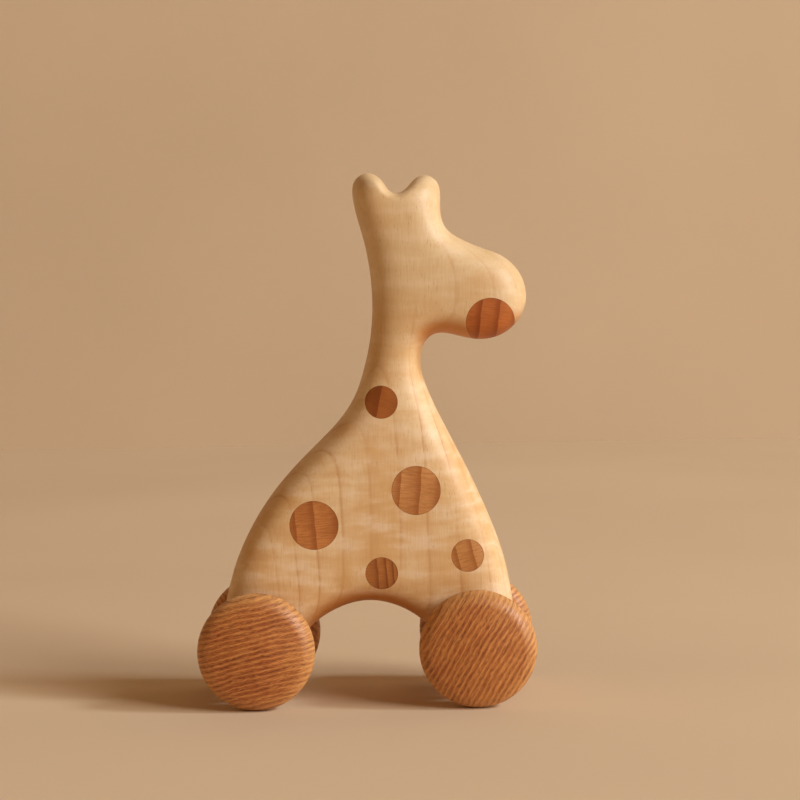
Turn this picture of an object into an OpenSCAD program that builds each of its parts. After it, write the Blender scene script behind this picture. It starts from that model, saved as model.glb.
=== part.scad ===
// Wooden giraffe on wheels: a body sawn from one thick board and rounded all over, six round
// spots let right through it, and four wheels glued on two axles that turn in the legs.
// Millimetres. +X is forwards, +Y is the animal's left, +Z is up. The origin is on the floor,
// midway between the axles and in the middle of the board.

/* [Body] */
// Height of the top of the rear horn above the floor
overall_h = 195; // [175:1:235]
// Distance between the two axles
wheelbase = 81; // [72:1:98]
// Thickness of the board that the body is sawn from
board_t = 32; // [26:1:40]
// Radius of the rounded foot around each axle
foot_r = 15; // [11:0.5:17]
// How far the rounding reaches in from the outline: larger is softer
softness = 8; // [4:0.5:12]

/* [Spots] */
// Diameter of the three large spots
large_spot_d = 18; // [14:0.5:22]
// Diameter of the three small spots
small_spot_d = 12; // [9:0.5:15]

/* [Wheels] */
// Diameter of each wheel
wheel_d = 43; // [36:0.5:52]
// Width of each wheel
wheel_w = 14; // [11:0.5:18]
// Radius of the wheel's rounded edges
wheel_round = 5; // [2:0.5:5.4]
// Gap between the body and each wheel
side_gap = 0.8; // [0.4:0.1:2]

/* [Axles] */
// Diameter of the axle rods
axle_d = 8; // [6:0.5:10]
// Radial play of an axle in its leg
axle_play = 0.09; // [0.05:0.01:0.1]
// Wood left between the axle's end hole and the wheel's outer face
wheel_wall = 4; // [2.5:0.5:6]
// Space left at the bottom of the end hole for glue
glue_gap = 0.5; // [0:0.1:1]
// Chamfer on the axle's ends
axle_chamfer = 0.8; // [0.3:0.1:1.2]

/* [Hidden] */
$fn = 64;

maple = "burlywood";
spot_wood = "sienna";
wheel_wood = "peru";
axle_wood = "wheat";

axle_x = wheelbase / 2;
axle_z = wheel_d / 2;
axle_r = axle_d / 2;
wheel_inner_y = board_t / 2 + side_gap;
axle_end_y = wheel_inner_y + wheel_w - wheel_wall - glue_gap;
cut = 1; // how far a cutter runs past what it cuts

// The outline is drawn for these sizes. place() moves a drawn point to the sizes set above: the
// torso spreads with the wheelbase, the feet rise with the axles, and the neck takes up the height.
drawn_h = 195;
drawn_base = 81;
drawn_axle_z = 21.5;
torso_z = 60;   // the torso takes the full spread up to here
nape_z = 112;   // and none from here up
belly_z = 40;   // the neck starts to stretch here
jaw_z = 130;    // and the head keeps its shape from here up

function ease(t) = let (c = max(0, min(1, t))) c * c * (3 - 2 * c);
function spread(z) = 1 - ease((z - torso_z) / (nape_z - torso_z));
function place(p) =
    let (foot_lift = axle_z - drawn_axle_z, head_lift = overall_h - drawn_h)
    [p.x * (1 + (wheelbase / drawn_base - 1) * spread(p.y)),
     p.y + foot_lift + (head_lift - foot_lift) * ease((p.y - belly_z) / (jaw_z - belly_z))];

// Knots of the outline, in order round the animal as seen from its right side.
chest_knots = [[52.5, 45], [48.5, 60], [42.5, 75], [35.5, 90], [28.2, 104.5], [23, 116.5]];
head_knots = [
    [21.1, 125.5], [23, 132.8], [28.5, 135.9],             // throat
    [36, 134.5], [44, 133.3], [52, 135.4], [58, 141],      // chin
    [60.4, 148.5], [58.4, 157], [52, 163.7],               // nose
    [44, 167], [36.2, 170.6], [31.2, 174.5],               // forehead
    [29.3, 180.5], [29.3, 187], [27.9, 191.8],
    [23.8, 194], [19.7, 192.3], [16.5, 189],               // front horn
    [13, 187.5], [10, 189.2], [7.3, 192.9],                // notch
    [2.6, 195], [-1.8, 192.7], [-3, 187.5],                // rear horn
    [-1.5, 179], [1.5, 167.5]];
back_knots = [[3.5, 152], [3, 137], [0.4, 124], [-4.2, 111.5], [-12.6, 100.5], [-23.8, 89.5],
              [-34, 78], [-42, 66], [-47.6, 54.5], [-51.3, 43]];
arch_knots = [[-20.8, 27.6], [-11, 34], [1, 36.8], [13, 33.8], [21.6, 27.6]];

function foot_knots(x, from, to, count) =
    [for (k = [0:count - 1])
        let (a = from + (to - from) * k / (count - 1))
        [x + foot_r * cos(a), axle_z + foot_r * sin(a)]];

knots = concat(foot_knots(axle_x, 186, 372, 5),
               [for (p = chest_knots) place(p)],
               [for (p = head_knots) place(p)],
               [for (p = back_knots) place(p)],
               foot_knots(-axle_x, 168, 354, 5),
               [for (p = arch_knots) place(p)]);

// A closed cubic spline through the knots, smooth in its curvature. Its tangents are the solution
// of m[k-1] + 4 m[k] + m[k+1] = 3 (p[k+1] - p[k-1]), which a few passes reach.
spline_passes = 14;
per_span = 3;
function around(list, k) = list[(k + len(list)) % len(list)];
function tangents(p, m, passes) =
    passes == 0 ? m
    : tangents(p, [for (k = [0:len(p) - 1])
          (3 * (around(p, k + 1) - around(p, k - 1)) - around(m, k - 1) - around(m, k + 1)) / 4],
          passes - 1);
function spline(p, steps) =
    let (m = tangents(p, [for (q = p) [0, 0]], spline_passes))
    [for (k = [0:len(p) - 1], s = [0:steps - 1])
        let (t = s / steps, q = around(p, k + 1), n = around(m, k + 1))
        (2 * t ^ 3 - 3 * t ^ 2 + 1) * p[k] + (t ^ 3 - 2 * t ^ 2 + t) * m[k]
        + (3 * t ^ 2 - 2 * t ^ 3) * q + (t ^ 3 - t ^ 2) * n];

outline = spline(knots, per_span);
points = len(outline);

// At each point of the outline, the inward normal and the radius of the largest circle inside the
// outline that touches it there: half the local width of the body.
widest = 32;
function inward(i) = let (d = around(outline, i + 1) - around(outline, i - 1)) [-d.y, d.x] / norm(d);
function half_width(i) =
    let (n = inward(i))
    min([widest, for (k = [0:points - 1])
        let (d = outline[k] - outline[i], a = d * n)
        if (k != i && a > 0.001) d * d / (2 * a)]);

// Half the thickness of the body at a depth d in from the outline, where the body is 2 w wide.
// It rises steeply at the edge, flattens to the board's own faces, and stays lower where the body
// is narrow, as the sander leaves it at the neck and the horns.
function cosh(x) = (exp(x) + exp(-x)) / 2;
function swell(d, w) = 1 - cosh((w - d) / softness) / cosh(w / softness);
function half_thickness(d, w) = let (s = swell(d, w)) board_t / 2 * sqrt(s * (2 - s));

// Rings of points from the outline in towards the middle, closer together at both ends. The last
// ring stops short of the middle line, where the surface has become level.
rings = 7;
ring_power = 1.5;
ring_reach = 0.9;
function ring_depth(j, reach) = reach * (1 - cos(180 * pow(j / rings, ring_power))) / 2;
half_widths = [for (i = [0:points - 1]) half_width(i)];
evened = 4; // neighbours on each side that a half width is averaged with, nearer ones counting more
function even(list, i) =
    let (weights = [for (n = [-evened:evened]) evened + 1 - abs(n)],
         values = [for (n = [-evened:evened]) around(list, i + n)])
    weights * values / pow(evened + 1, 2);
reaches = [for (i = [0:points - 1]) ring_reach * min(even(half_widths, i), half_widths[i] * 1.05)];
normals = [for (i = [0:points - 1]) inward(i)];
function ring(j, side) =
    [for (i = [0:points - 1])
        let (d = ring_depth(j, reaches[i]), p = outline[i] + normals[i] * d)
        [p.x, side * half_thickness(d, reaches[i]), p.y]];

// Triangles for the level middle that the last ring leaves: the corner with the shortest far side
// that has no other point in it is cut off, again and again.
function turn(a, b, c) = (b.x - a.x) * (c.y - a.y) - (b.y - a.y) * (c.x - a.x);
function holds(a, b, c, p) = turn(a, b, p) >= 0 && turn(b, c, p) >= 0 && turn(c, a, p) >= 0;
function corner(loop, k) = [around(loop, k - 1), loop[k], around(loop, k + 1)];
function is_free(q, loop, t) =
    len([for (r = loop)
        if (r != t[0] && r != t[1] && r != t[2] && holds(q[t[0]], q[t[1]], q[t[2]], q[r])) r]) == 0;
function next_corner(q, loop, longer_than) =
    let (far_sides = [for (k = [0:len(loop) - 1])
             let (t = corner(loop, k), far_side = norm(q[t[2]] - q[t[0]]))
             turn(q[t[0]], q[t[1]], q[t[2]]) > 0 && far_side > longer_than ? far_side : overall_h],
         shortest = min(far_sides),
         k = search(shortest, far_sides)[0])
    is_free(q, loop, corner(loop, k)) ? k : next_corner(q, loop, shortest);
function clip(q, loop, done) =
    len(loop) == 3 ? concat(done, [loop])
    : let (k = next_corner(q, loop, 0))
      clip(q, [for (i = [0:len(loop) - 1]) if (i != k) loop[i]], concat(done, [corner(loop, k)]));

// The rounded board before any hole is cut: rings 0 to `rings` on the right side, then rings 1 to
// `rings` on the left side, which shares ring 0.
function ring_start(j, side) = side < 0 || j == 0 ? j * points : (rings + j) * points;
function band(j, side) =
    [for (i = [0:points - 1])
        let (n = (i + 1) % points, a = ring_start(j - 1, side), b = ring_start(j, side))
        each side < 0 ? [[a + i, b + i, a + n], [a + n, b + i, b + n]]
                      : [[a + i, a + n, b + i], [a + n, b + n, b + i]]];
skin_points = concat([for (j = [0:rings]) each ring(j, -1)], [for (j = [1:rings]) each ring(j, 1)]);
middle = clip([for (p = ring(rings, 1)) [p.x, p.z]], [for (i = [0:points - 1]) i], []);
skin_faces = concat(
    [for (j = [1:rings], side = [-1, 1]) each band(j, side)],
    [for (t = middle) [for (k = [2:-1:0]) t[k] + ring_start(rings, -1)]],
    [for (t = middle) [for (v = t) v + ring_start(rings, 1)]]);

module skin() {
    polyhedron(points = skin_points, faces = skin_faces);
}

// Where the spots sit, as drawn points of the outline's plane.
neck_spot_at = [6.6, 111.6];
shoulder_spot_at = [18.8, 79.1];
flank_spot_at = [-18.8, 66.8];
belly_spot_at = [5.7, 48.7];
chest_spot_at = [37.3, 54.8];
muzzle_spot_at = [46.9, 140];

module rod_along_y(r, half_length) {
    rotate([90, 0, 0]) cylinder(r = r, h = 2 * half_length, center = true);
}

module spot_rod(at, d) {
    p = place(at);
    translate([p.x, 0, p.y]) rod_along_y(d / 2, board_t / 2 + cut);
}

module spot(at, d) {
    color(spot_wood) intersection() {
        skin();
        spot_rod(at, d);
    }
}

module body() {
    color(maple) difference() {
        skin();
        spot_rod(neck_spot_at, small_spot_d);
        spot_rod(shoulder_spot_at, large_spot_d);
        spot_rod(flank_spot_at, large_spot_d);
        spot_rod(belly_spot_at, small_spot_d);
        spot_rod(chest_spot_at, small_spot_d);
        spot_rod(muzzle_spot_at, large_spot_d);
        for (x = [-axle_x, axle_x])
            translate([x, 0, axle_z]) rod_along_y(axle_r + axle_play, board_t / 2 + cut);
    }
}

module axle(x) {
    color(axle_wood) translate([x, 0, axle_z]) rotate([90, 0, 0]) rotate_extrude()
        polygon([[0, -axle_end_y], [axle_r - axle_chamfer, -axle_end_y],
                 [axle_r, axle_chamfer - axle_end_y], [axle_r, axle_end_y - axle_chamfer],
                 [axle_r - axle_chamfer, axle_end_y], [0, axle_end_y]]);
}

// Half section of a wheel, from its inner face at y = 0 out to its outer face.
module wheel_section() {
    tread_r = wheel_d / 2;
    square([tread_r - wheel_round, wheel_w]);
    translate([0, wheel_round]) square([tread_r, wheel_w - 2 * wheel_round]);
    for (y = [wheel_round, wheel_w - wheel_round])
        translate([tread_r - wheel_round, y]) circle(r = wheel_round);
}

module wheel(x, side) {
    color(wheel_wood) translate([x, side * wheel_inner_y, axle_z]) rotate([side * -90, 0, 0])
        difference() {
            rotate_extrude() wheel_section();
            translate([0, 0, -cut]) cylinder(r = axle_r, h = wheel_w - wheel_wall + cut);
        }
}

body();
spot(neck_spot_at, small_spot_d);  // neck_spot
spot(shoulder_spot_at, large_spot_d);  // shoulder_spot
spot(flank_spot_at, large_spot_d);  // flank_spot
spot(belly_spot_at, small_spot_d);  // belly_spot
spot(chest_spot_at, small_spot_d);  // chest_spot
spot(muzzle_spot_at, large_spot_d);  // muzzle_spot
axle(axle_x);  // front_axle
axle(-axle_x);  // rear_axle
wheel(axle_x, 1);  // front_left_wheel
wheel(axle_x, -1);  // front_right_wheel
wheel(-axle_x, 1);  // rear_left_wheel
wheel(-axle_x, -1);  // rear_right_wheel
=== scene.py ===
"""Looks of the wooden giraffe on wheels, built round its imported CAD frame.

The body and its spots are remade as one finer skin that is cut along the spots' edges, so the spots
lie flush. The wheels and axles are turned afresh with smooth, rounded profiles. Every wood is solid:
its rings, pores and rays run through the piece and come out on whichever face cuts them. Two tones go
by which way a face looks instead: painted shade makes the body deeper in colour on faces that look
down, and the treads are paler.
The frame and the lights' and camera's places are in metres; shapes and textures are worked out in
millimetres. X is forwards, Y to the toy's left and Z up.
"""
import math

import bpy
import numpy as np
from mathutils import Matrix, Vector
from mathutils.geometry import delaunay_2d_cdt


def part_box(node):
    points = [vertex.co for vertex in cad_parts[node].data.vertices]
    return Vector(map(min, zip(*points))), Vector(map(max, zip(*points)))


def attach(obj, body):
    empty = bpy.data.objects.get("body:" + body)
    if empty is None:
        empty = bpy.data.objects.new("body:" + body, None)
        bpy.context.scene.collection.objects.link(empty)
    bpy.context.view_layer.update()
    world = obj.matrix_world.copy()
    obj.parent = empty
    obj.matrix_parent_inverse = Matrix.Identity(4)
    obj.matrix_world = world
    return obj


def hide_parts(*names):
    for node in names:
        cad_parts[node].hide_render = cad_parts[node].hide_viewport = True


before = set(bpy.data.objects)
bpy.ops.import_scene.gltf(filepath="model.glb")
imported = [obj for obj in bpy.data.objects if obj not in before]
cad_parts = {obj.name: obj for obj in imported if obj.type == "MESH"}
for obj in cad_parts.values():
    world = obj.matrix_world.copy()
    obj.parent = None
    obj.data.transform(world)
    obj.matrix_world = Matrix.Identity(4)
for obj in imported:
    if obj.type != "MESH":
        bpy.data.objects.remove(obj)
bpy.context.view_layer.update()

MM = 0.001
SPOTS = ("neck_spot", "shoulder_spot", "flank_spot", "belly_spot", "chest_spot", "muzzle_spot")
WHEELS = ("front_left_wheel", "front_right_wheel", "rear_left_wheel", "rear_right_wheel")
AXLES = ("front_axle", "rear_axle")


def box_mm(node):
    """A CAD node's lowest and highest corners in millimetres."""
    low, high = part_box(node)
    return np.array(low) / MM, np.array(high) / MM


# ---------------------------------------------------------------------------------------------
# The outline of the body, from the CAD frame
# ---------------------------------------------------------------------------------------------

OUTLINE_STEP = 0.9      # spacing of the outline's points
SPLINE_PARTS = 24       # straight parts that stand for each span of its spline while it is measured
IN_PLANE = 1e-6         # metres off the middle plane that still count as in it


def middle_points(node):
    """The (x, z) places where a node's mesh has corners in the middle plane of the board."""
    corners = [v.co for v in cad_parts[node].data.vertices if abs(v.co.y) < IN_PLANE]
    return {(round(co.x / MM, 3), round(co.z / MM, 3)) for co in corners}


def closed_spline(points, step):
    """Evenly spaced points on the closed cubic spline through points, spaced about step apart."""
    count = len(points)
    spans = np.linalg.norm(np.roll(points, -1, axis=0) - points, axis=1)
    before = np.roll(spans, 1)
    rows = np.zeros((count, count))
    here = np.arange(count)
    rows[here, here] = 2 * (before + spans)
    rows[here, (here - 1) % count] = spans
    rows[here, (here + 1) % count] = before
    slope = (np.roll(points, -1, axis=0) - points) / spans[:, None]
    slope_before = np.roll(slope, 1, axis=0)
    tangents = np.linalg.solve(rows, 3 * (before[:, None] * slope + spans[:, None] * slope_before))
    fine = []
    for i in range(count):
        j = (i + 1) % count
        for t in np.arange(SPLINE_PARTS) / SPLINE_PARTS:
            fine.append((2 * t**3 - 3 * t**2 + 1) * points[i] + (3 * t**2 - 2 * t**3) * points[j]
                        + spans[i] * ((t**3 - 2 * t**2 + t) * tangents[i] + (t**3 - t**2) * tangents[j]))
    fine = np.array(fine + [fine[0]])
    run = np.concatenate([[0], np.cumsum(np.linalg.norm(np.diff(fine, axis=0), axis=1))])
    places = np.linspace(0, run[-1], int(run[-1] / step), endpoint=False)
    return np.stack([np.interp(places, run, fine[:, k]) for k in (0, 1)], axis=1)


def outline():
    """The body's silhouette as points round it, anticlockwise as seen from its right side.

    The muzzle's spot takes part in it, and the seam between the two is left out.
    """
    waiting = sorted(middle_points("body") ^ middle_points("muzzle_spot"))
    chain = [waiting.pop(0)]
    while waiting:
        nearest = min(waiting, key=lambda p: math.dist(p, chain[-1]))
        waiting.remove(nearest)
        chain.append(nearest)
    points = np.array(chain)
    ahead = np.roll(points, -1, axis=0)
    area = np.sum(points[:, 0] * ahead[:, 1] - ahead[:, 0] * points[:, 1])
    return closed_spline(points if area > 0 else points[::-1], OUTLINE_STEP)


# ---------------------------------------------------------------------------------------------
# The skin: a net of triangles over the outline, and how far it stands out from the middle plane
# ---------------------------------------------------------------------------------------------

EDGE_DEPTHS = (0.04, 0.15, 0.36, 0.7, 1.2, 1.9, 2.7)   # rings of points close inside the outline
NET_STEP = 1.15         # spacing of the points further in
EDGE_CLEAR = 0.6 * NET_STEP     # the least distance from those to the innermost ring
NET_CLEAR = 0.45 * NET_STEP     # and from those to a circle
RING_CLEAR = 0.3        # the least distance from the rings' points to a circle
BORE_PLAY = 0.09        # gap all round an axle in its bore
SOFTNESS = 7.6          # how far the rounding reaches in from the outline
NOTCH_SOFTNESS = 1.3    # the same in the notch between the horns, which is crisper
NOTCH = (11.5, 189.0)   # where that notch is, as x and z
NOTCH_REACH = (4.0, 16.0)       # its softness holds up to the first distance and is gone at the second
CIRCLE_SIDES = 96
INSIDE_LOOPS = 1        # asks the triangulation for the triangles inside the loops only
SAME_POINT = 1e-5       # points nearer than this count as one
SOLVER_ROUNDS = 1500    # the most rounds that the swell's solution may take
SOLVED = 1e-18          # and the rest at which it is done


def inward(points):
    """Unit vectors across an anticlockwise outline, pointing inside it."""
    along = np.roll(points, -1, axis=0) - np.roll(points, 1, axis=0)
    across = np.stack([-along[:, 1], along[:, 0]], axis=1)
    return across / np.linalg.norm(across, axis=1)[:, None]


def spot_circle(node):
    """Centre and radius of a spot, from its box; the muzzle's is whole at its top and sides."""
    low, high = box_mm(node)
    radius = (high[0] - low[0]) / 2
    return np.array([(low[0] + high[0]) / 2, high[2] - radius]), radius


def bore_circle(axle_node):
    """Centre and radius of the bore that an axle turns in."""
    low, high = box_mm(axle_node)
    return ((low + high) / 2)[[0, 2]], (high[0] - low[0]) / 2 + BORE_PLAY


def ring_of(centre, radius):
    """Points round a circle."""
    turns = np.arange(CIRCLE_SIDES) * 2 * math.pi / CIRCLE_SIDES
    return centre + radius * np.stack([np.cos(turns), np.sin(turns)], axis=1)


def inside(places, polygon):
    """Which places lie inside a polygon."""
    found = np.zeros(len(places), bool)
    x, z = places[:, 0], places[:, 1]
    for (ax, az), (bx, bz) in zip(polygon, np.roll(polygon, -1, axis=0)):
        if az != bz:
            found ^= ((az > z) != (bz > z)) & (x < ax + (z - az) * (bx - ax) / (bz - az))
    return found


def distance_to(places, points):
    """Distance from each place to the nearest of points."""
    nearest = np.full(len(places), np.inf)
    for point in points:
        nearest = np.minimum(nearest, np.hypot(*(places - point).T))
    return nearest


def inner_net(edge, circles):
    """Staggered rows of points inside the outline, clear of its rings and of the circles."""
    low, high = edge.min(axis=0), edge.max(axis=0)
    rows = []
    for k, z in enumerate(np.arange(low[1], high[1], NET_STEP * math.sqrt(3) / 2)):
        x = np.arange(low[0] + (k % 2) * NET_STEP / 2, high[0], NET_STEP)
        rows.append(np.stack([x, np.full_like(x, z)], axis=1))
    places = np.concatenate(rows)
    places = places[inside(places, edge)]
    places = places[distance_to(places, edge) > EDGE_DEPTHS[-1] + EDGE_CLEAR]
    for centre, radius in circles:
        places = places[np.abs(np.hypot(*(places - centre).T) - radius) > NET_CLEAR]
    return places


class Skin:
    """The net's points and triangles, the circle that holds each triangle, and the height at each point.

    owner is 0 for a triangle of the body itself, and otherwise the number of its circle, from 1.
    """

    def __init__(self, edge, circles):
        loops = [edge] + [ring_of(*c) for c in circles]
        given, faces = [], []
        for loop in loops:
            faces.append(list(range(len(given), len(given) + len(loop))))
            given += [tuple(p) for p in loop]
        normals = inward(edge)
        for depth in EDGE_DEPTHS:
            ring = edge + depth * normals
            for centre, radius in circles:
                ring = ring[np.abs(np.hypot(*(ring - centre).T) - radius) > RING_CLEAR]
            given += [tuple(p) for p in ring]
        given += [tuple(p) for p in inner_net(edge, circles)]
        points, _, triangles, _, _, owners = delaunay_2d_cdt(
            [Vector(p) for p in given], [], faces, INSIDE_LOOPS, SAME_POINT)
        kept = [k for k, owner in enumerate(owners) if 0 in owner]
        self.points = np.array([p[:] for p in points])
        self.triangles = np.array([triangles[k] for k in kept])
        self.owner = np.array([max(owners[k]) for k in kept])
        self.on_edge = self.find_edge()
        self.height = self.heights()
        self.normal = self.normals()

    def find_edge(self):
        """Which points lie on the outline: those on a side that only one triangle has."""
        pairs = ((0, 1), (1, 2), (2, 0))
        sides = np.sort(np.concatenate([self.triangles[:, pair] for pair in pairs]))
        _, first, uses = np.unique(sides, axis=0, return_index=True, return_counts=True)
        on_edge = np.zeros(len(self.points), bool)
        on_edge[sides[first[uses == 1]].ravel()] = True
        return on_edge

    def heights(self):
        """Half the body's thickness at each point.

        The swell u rises from 0 on the outline to 1 far inside. It solves
        u - softness^2 * laplacian(u) = 1 on the triangles, by conjugate gradients, and a round section
        turns it into a height.
        """
        p, t = self.points, self.triangles
        count = len(p)
        weights, ends = [], []
        area = np.zeros(count)
        corner = p[t]
        twice = np.cross(corner[:, 1] - corner[:, 0], corner[:, 2] - corner[:, 0])
        for k in range(3):
            a, b, c = t[:, k], t[:, (k + 1) % 3], t[:, (k + 2) % 3]
            cotangent = np.sum((p[b] - p[a]) * (p[c] - p[a]), axis=1) / twice
            ends.append(np.stack([b, c], axis=1))
            weights.append(cotangent / 2)
            area += np.bincount(a, twice / 6, count)
        ends, weights = np.concatenate(ends), np.concatenate(weights)
        free = ~self.on_edge
        away = np.interp(np.hypot(*(p - NOTCH).T), NOTCH_REACH, (0, 1))
        softness = NOTCH_SOFTNESS + (SOFTNESS - NOTCH_SOFTNESS) * away * away * (3 - 2 * away)
        area /= softness**2

        def apply(u):
            flow = weights * (u[ends[:, 0]] - u[ends[:, 1]])
            bend = np.bincount(ends[:, 0], flow, count) - np.bincount(ends[:, 1], flow, count)
            return free * (area * u + bend)

        u = np.zeros(count)
        rest = free * area
        step = rest.copy()
        size = rest @ rest
        for _ in range(SOLVER_ROUNDS):
            pushed = apply(step)
            reach = size / (step @ pushed)
            u += reach * step
            rest -= reach * pushed
            new_size = rest @ rest
            if new_size < SOLVED:
                break
            step = rest + new_size / size * step
            size = new_size
        u = np.clip(u, 0, 1)
        section = np.sqrt(u * (2 - u))
        return section / section.max() * box_mm("body")[1][1]

    def normals(self):
        """Outward normals of the right side at each point; on the outline they lie in its plane."""
        at = np.stack([self.points[:, 0], -self.height, self.points[:, 1]], axis=1)
        corner = at[self.triangles]
        flat = np.cross(corner[:, 1] - corner[:, 0], corner[:, 2] - corner[:, 0])
        total = np.zeros((len(at), 3))
        for k in range(3):
            for axis in range(3):
                total[:, axis] += np.bincount(self.triangles[:, k], flat[:, axis], len(at))
        total[self.on_edge, 1] = 0
        length = np.linalg.norm(total, axis=1)
        length[length == 0] = 1     # a circle's points outside the outline, which no triangle uses
        return total / length[:, None]

    def cut(self, name, owner):
        """A closed piece: the triangles of one owner on both sides of the board, joined by walls."""
        chosen = self.triangles[self.owner == owner]
        used = np.unique(chosen)
        right = {int(i): k for k, i in enumerate(used)}
        off_edge = [int(i) for i in used if not self.on_edge[i]]
        left = {i: len(used) + k for k, i in enumerate(off_edge)}
        left.update({i: k for i, k in right.items() if self.on_edge[i]})
        places = [(self.points[i, 0], -self.height[i], self.points[i, 1]) for i in used]
        places += [(self.points[i, 0], self.height[i], self.points[i, 1]) for i in off_edge]

        faces, normals = [], []
        for a, b, c in chosen.tolist():
            faces.append((right[a], right[b], right[c]))
            normals += [tuple(self.normal[i]) for i in (a, b, c)]
            faces.append((left[c], left[b], left[a]))
            normals += [tuple(self.normal[i] * (1, -1, 1)) for i in (c, b, a)]

        sides = {(a, b) for t in chosen.tolist() for a, b in (t[:2], t[1:], (t[2], t[0]))}
        walls = [(a, b) for a, b in sides
                 if (b, a) not in sides and not (self.on_edge[a] and self.on_edge[b])]
        out = {}
        for a, b in walls:
            along = self.points[b] - self.points[a]
            across = np.array([along[1], 0, -along[0]]) / np.hypot(*along)
            for i in (a, b):
                out[i] = out.get(i, 0) + across
        for a, b in sorted(walls):
            corners = [(b, right[b]), (a, right[a]), (a, left[a]), (b, left[b])]
            corners = [c for k, c in enumerate(corners) if c[1] != corners[k - 1][1]]
            faces.append(tuple(c[1] for c in corners))
            normals += [tuple(out[c[0]] / np.linalg.norm(out[c[0]])) for c in corners]

        mesh = bpy.data.meshes.new(name)
        mesh.from_pydata([tuple(np.array(p) * MM) for p in places], [], faces)
        mesh.polygons.foreach_set("use_smooth", [True] * len(faces))
        mesh.normals_split_custom_set(normals)
        mesh.update()
        return link(name, mesh)


def link(name, mesh):
    """A new object in the scene with the given mesh."""
    piece = bpy.data.objects.new(name, mesh)
    bpy.context.scene.collection.objects.link(piece)
    return piece


# ---------------------------------------------------------------------------------------------
# Turned pieces
# ---------------------------------------------------------------------------------------------

TURNS = 128             # flats round a turned piece
SHARP = math.radians(35)        # its edges that bend more than this stay sharp
INNER_ROUND = 5.0       # radius of a wheel's rounded edge on the body's side
OUTER_ROUND = 6.4       # and of the one on the outside
OUTER_SWEEP = 77        # degrees of that arc up to where the crowned face carries on
WHEEL_CROWN = 1.8       # how much a wheel's outer face bulges at its middle
CROWN_STEPS = (0, 0.15, 0.3, 0.45, 0.6, 0.75, 0.88)    # the face's points, as parts of its radius
WHEEL_WALL = 4.0        # wood between the end hole and the outer face
HOLE_CHAMFER = 0.6
AXLE_CHAMFER = 0.8


def arc(centre, radius, start, end, steps):
    """Points (r, y) of an arc in a turned piece's half section, angles in degrees."""
    for k in range(steps + 1):
        angle = math.radians(start + (end - start) * k / steps)
        yield centre[0] + radius * math.cos(angle), centre[1] + radius * math.sin(angle)


def turned(name, section, centre, side=1):
    """A closed piece turned about an axis along Y from a half section, which starts and ends at r = 0.

    side is -1 for a section that runs towards -Y.
    """
    places, rings = [], []
    for r, y in section:
        at = (centre[0], centre[1] + side * y, centre[2])
        if r < 1e-6:
            rings.append([len(places)])
            places.append(at)
            continue
        rings.append(list(range(len(places), len(places) + TURNS)))
        for k in range(TURNS):
            angle = 2 * math.pi * k / TURNS
            places.append((at[0] + r * math.cos(angle), at[1], at[2] + r * math.sin(angle)))
    faces = []
    for one, two in zip(rings, rings[1:]):
        for k in range(TURNS):
            n = (k + 1) % TURNS
            quad = [one[k % len(one)], one[n % len(one)], two[n % len(two)], two[k % len(two)]]
            quad = [v for i, v in enumerate(quad) if v != quad[i - 1]]
            faces.append(quad if side > 0 else quad[::-1])
    mesh = bpy.data.meshes.new(name)
    mesh.from_pydata([tuple(np.array(p) * MM) for p in places], [], faces)
    mesh.polygons.foreach_set("use_smooth", [True] * len(faces))
    mesh.set_sharp_from_angle(angle=SHARP)
    mesh.update()
    return link(name, mesh)


def wheel(node):
    """A wheel: from the bottom of its blind hole over the back, the tread and the crowned face."""
    low, high = box_mm(node)
    side = 1 if low[1] > 0 else -1
    radius, width = (high[2] - low[2]) / 2, high[1] - low[1]
    inner = low[1] if side > 0 else high[1]
    axle_low, axle_high = box_mm("front_axle")
    hole_r, depth = (axle_high[0] - axle_low[0]) / 2, width - WHEEL_WALL
    back_r, face_r = radius - INNER_ROUND, radius - OUTER_ROUND
    section = [(0, depth), (hole_r, depth), (hole_r, HOLE_CHAMFER), (hole_r + HOLE_CHAMFER, 0)]
    section += [(back_r * t, 0) for t in (0.45, 0.7)]
    section += arc((back_r, INNER_ROUND), INNER_ROUND, -90, 0, 12)
    section += arc((face_r, width - WHEEL_CROWN - OUTER_ROUND), OUTER_ROUND, 0, OUTER_SWEEP, 14)
    section += [(face_r * t, width - WHEEL_CROWN * t * t) for t in reversed(CROWN_STEPS)]
    middle = (low + high) / 2
    name = node.replace("_wheel", "_wheel_wood")
    return turned(name, section, (middle[0], inner, middle[2]), side)


def axle(node):
    """An axle: a dowel with both ends chamfered."""
    low, high = box_mm(node)
    radius, reach = (high[0] - low[0]) / 2, high[1]
    section = [(0, -reach), (radius - AXLE_CHAMFER, -reach), (radius, AXLE_CHAMFER - reach)]
    section += [(radius, reach * t) for t in (-0.6, -0.2, 0.2, 0.6)]
    section += [(radius, reach - AXLE_CHAMFER), (radius - AXLE_CHAMFER, reach), (0, reach)]
    middle = (low + high) / 2
    return turned(node + "_wood", section, (middle[0], 0, middle[2]))


# ---------------------------------------------------------------------------------------------
# Woods
# ---------------------------------------------------------------------------------------------

def paint(code):
    """A colour written as on screen, "#rrggbb", as the linear values that shaders take."""
    values = [int(code[k:k + 2], 16) / 255 for k in (1, 3, 5)]
    return [v / 12.92 if v <= 0.04045 else ((v + 0.055) / 1.055) ** 2.4 for v in values] + [1]


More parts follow.
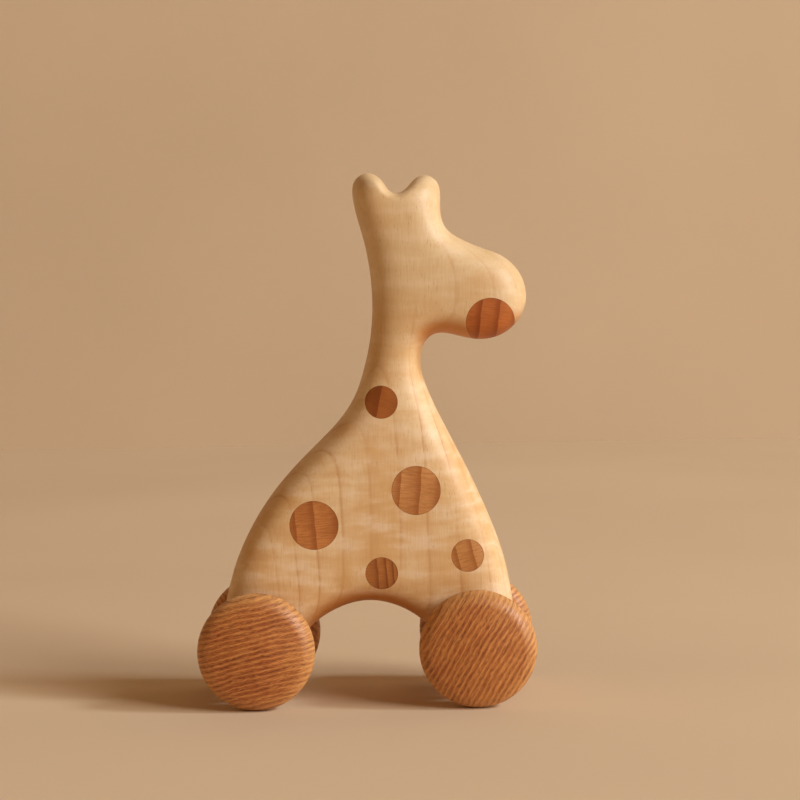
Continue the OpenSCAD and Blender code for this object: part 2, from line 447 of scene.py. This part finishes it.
class Wood:
    """A solid wood material. Sockets or plain values go into each method and a socket comes out.

    point is in millimetres in the model's frame, and a wheel's turns with the wheel. facing is the
    direction that the surface faces.
    """

    def __init__(self, name):
        self.material = bpy.data.materials.new(name)
        self.material.use_nodes = True
        self.tree = self.material.node_tree
        self.shader = self.tree.nodes["Principled BSDF"]
        place = self.tree.nodes.new("ShaderNodeTexCoord")
        self.point = self.vector("MULTIPLY", place.outputs["Object"], (1 / MM,) * 3)
        self.facing = place.outputs["Normal"]

    def feed(self, socket, value):
        """Joins a socket to another, or gives it a plain value."""
        if isinstance(value, bpy.types.NodeSocket):
            self.tree.links.new(value, socket)
        else:
            socket.default_value = value

    def math(self, operation, *values):
        node = self.tree.nodes.new("ShaderNodeMath")
        node.operation = operation
        for socket, value in zip(node.inputs, values):
            self.feed(socket, value)
        return node.outputs[0]

    def vector(self, operation, *values):
        node = self.tree.nodes.new("ShaderNodeVectorMath")
        node.operation = operation
        for socket, value in zip(node.inputs, values):
            self.feed(socket, value)
        return node.outputs["Value" if operation in ("DOT_PRODUCT", "LENGTH") else "Vector"]

    def noise(self, sizes, seed, detail, point=None):
        """Smooth noise around 0.5, with features of about the given sizes along X, Y and Z.

        seed moves to another stretch of the noise, and more detail adds finer features.
        """
        scale = tuple(1 / s for s in sizes)
        moved = self.vector("MULTIPLY_ADD", point or self.point, scale, (seed,) * 3)
        node = self.tree.nodes.new("ShaderNodeTexNoise")
        self.feed(node.inputs["Vector"], moved)
        node.inputs["Scale"].default_value = 1
        node.inputs["Detail"].default_value = detail
        return node.outputs[0]

    def bend(self, sizes, seed):
        """A smoothly changing vector, each part between about -0.5 and 0.5."""
        moved = self.vector("MULTIPLY_ADD", self.point, tuple(1 / s for s in sizes), (seed,) * 3)
        node = self.tree.nodes.new("ShaderNodeTexNoise")
        self.feed(node.inputs["Vector"], moved)
        node.inputs["Scale"].default_value = 1
        return self.vector("SUBTRACT", node.outputs[1], (0.5, 0.5, 0.5))

    def swing(self, value, by):
        """Noise turned into a value between about -by and by."""
        return self.math("MULTIPLY_ADD", value, 2 * by, -by)

    def random(self, number, seed):
        """A fixed random value from 0 to 1 for each whole number."""
        node = self.tree.nodes.new("ShaderNodeTexWhiteNoise")
        node.noise_dimensions = "1D"
        self.feed(node.inputs["W"], self.math("ADD", number, seed + 0.5))
        return node.outputs["Value"]

    def ramp(self, value, *stops):
        """Follows the stops (place, height), straight between them."""
        node = self.tree.nodes.new("ShaderNodeValToRGB")
        points = node.color_ramp.elements
        while len(points) < len(stops):
            points.new(0.5)
        for element, (place, height) in zip(points, stops):
            element.position = place
            element.color = (height, height, height, 1)
        self.feed(node.inputs[0], value)
        return node.outputs[0]

    def mix(self, amount, one, two, blend="MIX"):
        """Colour one with the given amount of colour two laid over it."""
        node = self.tree.nodes.new("ShaderNodeMix")
        node.data_type = "RGBA"
        node.blend_type = blend
        for index, value in ((0, amount), (6, one), (7, two)):
            self.feed(node.inputs[index], value)
        return node.outputs[2]

    def apart(self, pith, lean=(0.0, 0.0, 0.0), grain="Z"):
        """Distance across the grain from the pith, a line along the grain axis that may lean."""
        parts = self.tree.nodes.new("ShaderNodeSeparateXYZ")
        self.feed(parts.inputs[0], self.point)
        along = parts.outputs[grain]
        squares = []
        for axis, start, slope in zip("XYZ", pith, lean):
            if axis != grain:
                line = self.math("MULTIPLY_ADD", along, slope, start)
                offset = self.math("SUBTRACT", parts.outputs[axis], line)
                squares.append(self.math("MULTIPLY", offset, offset))
        return self.math("SQRT", self.math("ADD", *squares))

    def height(self):
        """How high the point is, in millimetres."""
        parts = self.tree.nodes.new("ShaderNodeSeparateXYZ")
        self.feed(parts.inputs[0], self.point)
        return parts.outputs["Z"]

    def tilted(self, middle, slope):
        """The point seen from middle, with X turned in the XZ plane to climb at slope, in radians."""
        offset = self.vector("SUBTRACT", self.point, tuple(middle))
        cos, sin = math.cos(slope), math.sin(slope)
        axes = ((cos, 0, sin), (0, 1, 0), (-sin, 0, cos))
        joined = self.tree.nodes.new("ShaderNodeCombineXYZ")
        for socket, axis in zip(joined.inputs, axes):
            self.feed(socket, self.vector("DOT_PRODUCT", offset, axis))
        return joined.outputs[0]

    def rings(self, distance, width, first=0.0):
        """(place within its ring from 0 to 1, the ring's number) for a distance from the pith."""
        turns = self.math("MULTIPLY_ADD", distance, 1 / width, -first / width)
        return self.math("FRACT", turns), self.math("FLOOR", turns)

    def finish(self, colour, roughness, height, relief, gloss):
        """Joins the colour and roughness to the shader, and height as a relief so many mm deep."""
        bump = self.tree.nodes.new("ShaderNodeBump")
        bump.inputs["Distance"].default_value = relief * MM
        bump.inputs["Strength"].default_value = 1
        self.feed(bump.inputs["Height"], height)
        self.feed(self.shader.inputs["Normal"], bump.outputs[0])
        self.feed(self.shader.inputs["Base Color"], colour)
        self.feed(self.shader.inputs["Roughness"], roughness)
        self.shader.inputs["Specular IOR Level"].default_value = gloss
        return self.material


def maple():
    """Light maple with a curl across it, calmer on the head.

    Its tree stood nearly upright, with the pith in front of the toy and to its left.
    """
    wood = Wood("maple_wood")
    wander = wood.swing(wood.noise((45, 45, 110), 3.1, 1.5), 3.0)
    ripple = wood.swing(wood.noise((10, 10, 22), 7.7, 2), 0.5)
    straight = wood.apart((112, 116, 0), (-0.09, 0.03, 0))
    distance = wood.math("ADD", straight, wood.math("ADD", wander, ripple))
    place, number = wood.rings(distance, width=6.2, first=2.4)
    line = wood.ramp(place, (0.0, 0.1), (0.05, 0.0), (0.6, 0.0), (0.86, 0.25), (0.96, 1.0), (1.0, 0.1))
    line = wood.math("MULTIPLY", line, wood.ramp(wood.random(number, 4), (0.0, 0.35), (1.0, 1.0)))
    broken = wood.ramp(wood.noise((16, 16, 28), 12.4, 2), (0.36, 0.15), (0.6, 1.0))
    line = wood.math("MULTIPLY", line, broken)
    blotch = wood.ramp(wood.noise((20, 20, 34), 4.4, 3), (0.36, 0.0), (0.66, 1.0))
    sway = wood.vector("MULTIPLY", wood.bend((30, 30, 30), 6.2), (0, 0, 6))
    curl = wood.noise((15, 15, 4.4), 9.2, 3, wood.vector("ADD", wood.point, sway))
    dim = wood.ramp(curl, (0.3, 1.0), (0.5, 0.0))
    bright = wood.ramp(curl, (0.5, 0.0), (0.68, 1.0))
    # Painted shade: faces that look down are mixed towards a deeper orange, as shade falls under the
    # body.
    painted_shade_below = wood.ramp(wood.vector("DOT_PRODUCT", wood.facing, (0, 0, -1)), (0.2, 0.0), (0.75, 0.9))
    fibre = wood.noise((0.4, 0.4, 9), 5.5, 3)
    fleck = wood.ramp(wood.noise((0.45, 0.45, 3.2), 2.4, 1), (0.27, 1.0), (0.34, 0.0))

    top = box_mm("body")[1][2]
    pale = wood.ramp(wood.math("MULTIPLY", wood.height(), 1 / top), (0.5, 0.0), (0.85, 0.6))
    calm = wood.math("MULTIPLY_ADD", pale, -0.85, 1.0)
    colour = wood.mix(blotch, paint("#ebcea0"), paint("#ddb37a"))
    colour = wood.mix(pale, colour, paint("#dcc398"))
    line = wood.math("MULTIPLY", line, wood.math("MULTIPLY_ADD", pale, -0.6, 0.65))
    colour = wood.mix(line, colour, paint("#b8763a"))
    dim = wood.math("MULTIPLY", dim, wood.math("MULTIPLY", calm, 0.42))
    colour = wood.mix(dim, colour, paint("#d09c5e"))
    bright = wood.math("MULTIPLY", bright, wood.math("MULTIPLY", calm, 0.6))
    colour = wood.mix(bright, colour, paint("#f3dcbc"))
    colour = wood.mix(wood.ramp(fibre, (0.3, 0.22), (0.62, 0.0)), colour, paint("#c2925c"))
    colour = wood.mix(wood.math("MULTIPLY", fleck, 0.25), colour, paint("#9c6a38"))
    # Lays the painted shade on the faces that look down.
    colour = wood.mix(painted_shade_below, colour, paint("#bd7632"))
    height = wood.math("ADD", wood.math("MULTIPLY", fibre, 0.5), wood.math("MULTIPLY", fleck, -0.6))
    roughness = wood.math("MULTIPLY_ADD", curl, 0.1, 0.44)
    return wood.finish(colour, roughness, height, 0.02, 0.5)


def spot_wood(name, line_tilt, first, width, widening, light, dark, seed):
    """End grain of a dowel: straight rings that darken towards a sharp line, crossed by fine rays.

    line_tilt is how far the lines lean forwards from upright, in degrees; first is how far the first
    line lies in front of the spot's middle, and width the distance to the next. With widening the
    rings grow wider forwards.
    """
    wood = Wood(name + "_wood")
    centre, radius = spot_circle(name)
    tilt = math.radians(line_tilt)
    across = (math.cos(tilt), 0, -math.sin(tilt))
    middle = (centre[0], 0, centre[1])
    offset = wood.vector("SUBTRACT", wood.point, middle)
    run = wood.vector("DOT_PRODUCT", offset, across)
    waver = wood.swing(wood.noise((5, 60, 5), seed, 2), 0.45)
    squeeze = wood.math("MULTIPLY", wood.math("MULTIPLY", run, run), -widening)
    place, number = wood.rings(wood.math("ADD", run, wood.math("ADD", waver, squeeze)), width, first)
    shade = wood.ramp(place, (0.0, 0.0), (0.3, 0.1), (0.62, 0.35), (0.86, 0.9), (0.975, 1.0), (1.0, 0.0))
    shade = wood.math("MULTIPLY", shade, wood.math("MULTIPLY_ADD", wood.random(number, seed), 0.4, 0.6))
    rays = wood.noise((4, 50, 0.36), seed + 3, 3, wood.tilted(middle, -tilt))
    pores = wood.ramp(wood.noise((0.35, 14, 0.35), seed + 5, 1), (0.0, 1.0), (0.33, 0.5), (0.42, 0.0))
    blotch = wood.noise((7, 30, 7), seed + 7, 2)

    colour = wood.mix(shade, paint(light), paint(dark))
    colour = wood.mix(wood.ramp(rays, (0.34, 0.42), (0.6, 0.0)), colour, paint("#8d4c20"))
    colour = wood.mix(wood.ramp(blotch, (0.35, 0.3), (0.62, 0.0)), colour, paint(dark))
    colour = wood.mix(wood.math("MULTIPLY", pores, 0.32), colour, paint("#5e2f12"))
    rim_place = wood.vector("LENGTH", wood.vector("MULTIPLY", offset, (1, 0, 1)))
    rim = wood.ramp(wood.math("SUBTRACT", radius, rim_place), (0.0, 0.6), (0.2, 0.2), (0.4, 0.0))
    colour = wood.mix(rim, colour, paint("#6b3413"))
    height = wood.math("SUBTRACT", rays, wood.math("MULTIPLY", pores, 0.6))
    return wood.finish(colour, wood.math("MULTIPLY_ADD", rays, 0.1, 0.45), height, 0.015, 0.35)


def wheel_wood(node, ring_angle, seed):
    """End grain of an open-pored wood on the faces, with the grain along Y coming out on the tread.

    ring_angle is the slope of the ring lines above forwards, in degrees, seen from the right. The pith
    lies pith_away from the wheel's middle, so the lines are nearly straight.
    """
    wood = Wood(node + "_ash")
    low, high = box_mm(node)
    middle = (low + high) / 2
    slope = math.radians(ring_angle)
    pith_away = 210
    pith = (middle[0] + pith_away * math.sin(slope), 0, middle[2] - pith_away * math.cos(slope))
    waver = wood.swing(wood.noise((9, 50, 9), seed, 2), 0.8)
    fine_waver = wood.swing(wood.noise((1.3, 20, 1.3), seed + 1, 2), 0.28)
    distance = wood.math("ADD", wood.apart(pith, grain="Y"), wood.math("ADD", waver, fine_waver))
    place, number = wood.rings(distance, width=1.95, first=seed)
    early = wood.ramp(place, (0.0, 0.8), (0.12, 1.0), (0.35, 0.35), (0.5, 0.05), (0.8, 0.0), (1.0, 0.8))
    late = wood.ramp(place, (0.48, 0.0), (0.62, 1.0), (0.75, 0.0))
    strength = wood.math("MULTIPLY_ADD", wood.random(number, seed), 0.45, 0.55)
    early = wood.math("MULTIPLY", early, strength)
    blotch = wood.noise((12, 60, 12), seed + 2, 2)
    along = wood.tilted(middle, slope)
    pores = wood.ramp(wood.noise((1.7, 5, 0.3), seed + 4, 1, along), (0.4, 1.0), (0.52, 0.0))
    fibre = wood.noise((3.6, 12, 0.36), seed + 6, 3, along)

    sideways = wood.math("ABSOLUTE", wood.vector("DOT_PRODUCT", wood.facing, (0, 1, 0)))
    tread = wood.ramp(sideways, (0.4, 0.6), (0.92, 0.2), (1.0, 0.0))
    colour = wood.mix(wood.ramp(blotch, (0.3, 0.0), (0.7, 1.0)), paint("#c87d3c"), paint("#ae5e26"))
    colour = wood.mix(tread, colour, paint("#e4b272"))
    early = wood.math("MULTIPLY", early, wood.math("MULTIPLY_ADD", tread, -0.6, 1.0))
    colour = wood.mix(wood.math("MULTIPLY", early, 0.62), colour, paint("#7d3812"))
    colour = wood.mix(wood.ramp(fibre, (0.34, 0.4), (0.5, 0.0)), colour, paint("#8f5527"))
    colour = wood.mix(wood.ramp(fibre, (0.5, 0.0), (0.68, 0.4)), colour, paint("#e8a960"))
    colour = wood.mix(wood.math("MULTIPLY", late, 0.5), colour, paint("#e6aa66"))
    deep = wood.math("MULTIPLY", pores, wood.math("MULTIPLY_ADD", early, 0.5, 0.2))
    colour = wood.mix(deep, colour, paint("#542308"))
    height = wood.math("SUBTRACT", wood.math("MULTIPLY", fibre, 0.4), deep)
    roughness = wood.math("MULTIPLY_ADD", early, 0.14, 0.46)
    return wood.finish(colour, roughness, height, 0.09, 0.5)


def axle_wood():
    """Plain light dowel with its grain along Y."""
    wood = Wood("axle_dowel")
    wander = wood.swing(wood.noise((6, 60, 6), 1, 2), 0.5)
    distance = wood.math("ADD", wood.apart((14, 0, 60), grain="Y"), wander)
    place, _ = wood.rings(distance, width=1.6)
    line = wood.ramp(place, (0.0, 0.6), (0.2, 0.1), (0.8, 0.2), (1.0, 0.6))
    fibre = wood.noise((0.35, 9, 0.35), 2, 3)
    colour = wood.mix(line, paint("#dcb27e"), paint("#b98750"))
    colour = wood.mix(wood.ramp(fibre, (0.35, 0.35), (0.6, 0.0)), colour, paint("#9c6c3c"))
    return wood.finish(colour, 0.55, fibre, 0.02, 0.35)


# ---------------------------------------------------------------------------------------------
# The pieces
# ---------------------------------------------------------------------------------------------

circles = [spot_circle(s) for s in SPOTS] + [bore_circle(a) for a in AXLES]
skin = Skin(outline(), circles)

body = skin.cut("body_wood", 0)
body.data.materials.append(maple())
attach(body, "body")
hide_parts("body")

# for each spot: line tilt, first line, ring width, widening, light colour, dark colour, seed
SPOT_GRAIN = {
    "neck_spot": (12.7, -0.6, 9.0, 0.0, "#ae682f", "#7d4018", 11.0),
    "shoulder_spot": (5.1, 1.6, 7.3, 0.0, "#d89d60", "#9f5c28", 23.0),
    "flank_spot": (-5.3, 0.5, 7.8, 0.016, "#cf8a4c", "#8f4a1c", 37.0),
    "belly_spot": (-4.5, 2.2, 3.4, -0.05, "#bc7b3f", "#834519", 41.0),
    "chest_spot": (-14.0, 2.4, 5.9, 0.0, "#d39a5a", "#a05e2a", 53.0),
    "muzzle_spot": (7.4, 2.9, 6.6, 0.0, "#c8763a", "#8f4313", 67.0),
}
for number, spot in enumerate(SPOTS, 1):
    piece = skin.cut(spot + "_plug", number)
    piece.data.materials.append(spot_wood(spot, *SPOT_GRAIN[spot]))
    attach(piece, "body")
    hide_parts(spot)

# for each wheel: slope of the ring lines, seed
WHEEL_GRAIN = {
    "front_left_wheel": (31, 4.0),
    "front_right_wheel": (59, 15.0),
    "rear_left_wheel": (-48, 26.0),
    "rear_right_wheel": (13, 37.0),
}
for node in WHEELS:
    piece = wheel(node)
    piece.data.materials.append(wheel_wood(node, *WHEEL_GRAIN[node]))
    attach(piece, node.split("_")[0] + "_wheelset")
    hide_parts(node)

dowel = axle_wood()
for node in AXLES:
    piece = axle(node)
    piece.data.materials.append(dowel)
    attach(piece, node.split("_")[0] + "_wheelset")
    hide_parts(node)


# ---------------------------------------------------------------------------------------------
# Floor, light and camera, in metres
# ---------------------------------------------------------------------------------------------

FLOOR_FRONT = -6.0      # where the floor ends on the camera's side
FLOOR_BACK = 0.95       # where the wall stands, far enough behind the object to look at its back
WALL_TOP = 2.4
STAGE_HALF = 6.0        # half the width of floor and wall
LAMP_AIM = (0, 0, 0.1)
WINDOW_AIM = (0, 0, 0.08)
CAMERA_AT = (0.0248, -0.8871, 0.1831)
LENS = 108              # focal length in mm
FILM = 36               # width of the sensor in mm


def stage():
    """A paper floor, and behind the object a wall of the same paper in a slightly darker tone."""
    section = [(FLOOR_FRONT, 0.0), (FLOOR_BACK, 0.0), (FLOOR_BACK, WALL_TOP)]
    places = [(x, y, z) for y, z in section for x in (-STAGE_HALF, STAGE_HALF)]
    faces = [(2 * k, 2 * k + 1, 2 * k + 3, 2 * k + 2) for k in range(len(section) - 1)]
    mesh = bpy.data.meshes.new("paper")
    mesh.from_pydata(places, [], faces)
    sheet = link("paper_floor_and_wall", mesh)
    paper = Wood("paper")
    tone = paper.noise((260, 260, 260), 2.0, 2)
    tooth = paper.noise((0.6, 0.6, 0.6), 8.0, 2)
    colour = paper.mix(paper.ramp(tone, (0.3, 0.0), (0.7, 1.0)), paint("#d9c2a3"), paint("#d3bc9d"))
    on_wall = paper.math("GREATER_THAN", paper.height(), 0.01)      # all that stands above the floor
    colour = paper.mix(on_wall, colour, paint("#f5f5f5"), "MULTIPLY")
    sheet.data.materials.append(paper.finish(colour, 0.85, tooth, 0.03, 0.2))


def area_light(name, at, aim, size, power, colour):
    """A square light of size metres each way."""
    light = bpy.data.lights.new(name, "AREA")
    light.size = size
    light.energy = power
    light.color = colour
    lamp = bpy.data.objects.new(name, light)
    lamp.location = at
    lamp.rotation_euler = (Vector(aim) - Vector(at)).to_track_quat("-Z", "Y").to_euler()
    bpy.context.scene.collection.objects.link(lamp)


def camera():
    """A long lens on the toy's right side, a little above, looking slightly down; angles in radians."""
    yaw, pitch, roll = -0.013, 0.081, -0.017
    flat = Vector((math.sin(yaw), math.cos(yaw), 0))
    forward = math.cos(pitch) * flat - math.sin(pitch) * Vector((0, 0, 1))
    level = Vector((math.cos(yaw), -math.sin(yaw), 0))
    up = level.cross(forward)
    right = math.cos(roll) * level + math.sin(roll) * up
    up = math.cos(roll) * up - math.sin(roll) * level
    lens = bpy.data.cameras.new("camera")
    lens.lens = LENS
    lens.sensor_width = FILM
    lens.clip_start = 0.05
    eye = bpy.data.objects.new("camera", lens)
    turn = Matrix((right, up, -forward)).transposed()
    eye.matrix_world = Matrix.Translation(CAMERA_AT) @ turn.to_4x4()
    bpy.context.scene.collection.objects.link(eye)
    bpy.context.scene.camera = eye


def room():
    """Warm light from all round, as from the walls of a room."""
    world = bpy.data.worlds.new("room")
    world.use_nodes = True
    background = world.node_tree.nodes["Background"]
    background.inputs["Color"].default_value = paint("#e09548")
    background.inputs["Strength"].default_value = 0.17
    bpy.context.scene.world = world


stage()
camera()
area_light("window", (4.2, -0.98, 2.99), WINDOW_AIM, 0.78, 115, (0.86, 0.96, 1.0))
area_light("screen", (3.95, -2.57, 2.25), LAMP_AIM, 2.1, 203, (1.0, 0.92, 0.87))
area_light("left wall", (-2.4, -1.2, 1.2), LAMP_AIM, 1.5, 7, (1.0, 0.62, 0.28))
room()
bpy.context.scene.view_settings.view_transform = "Standard"
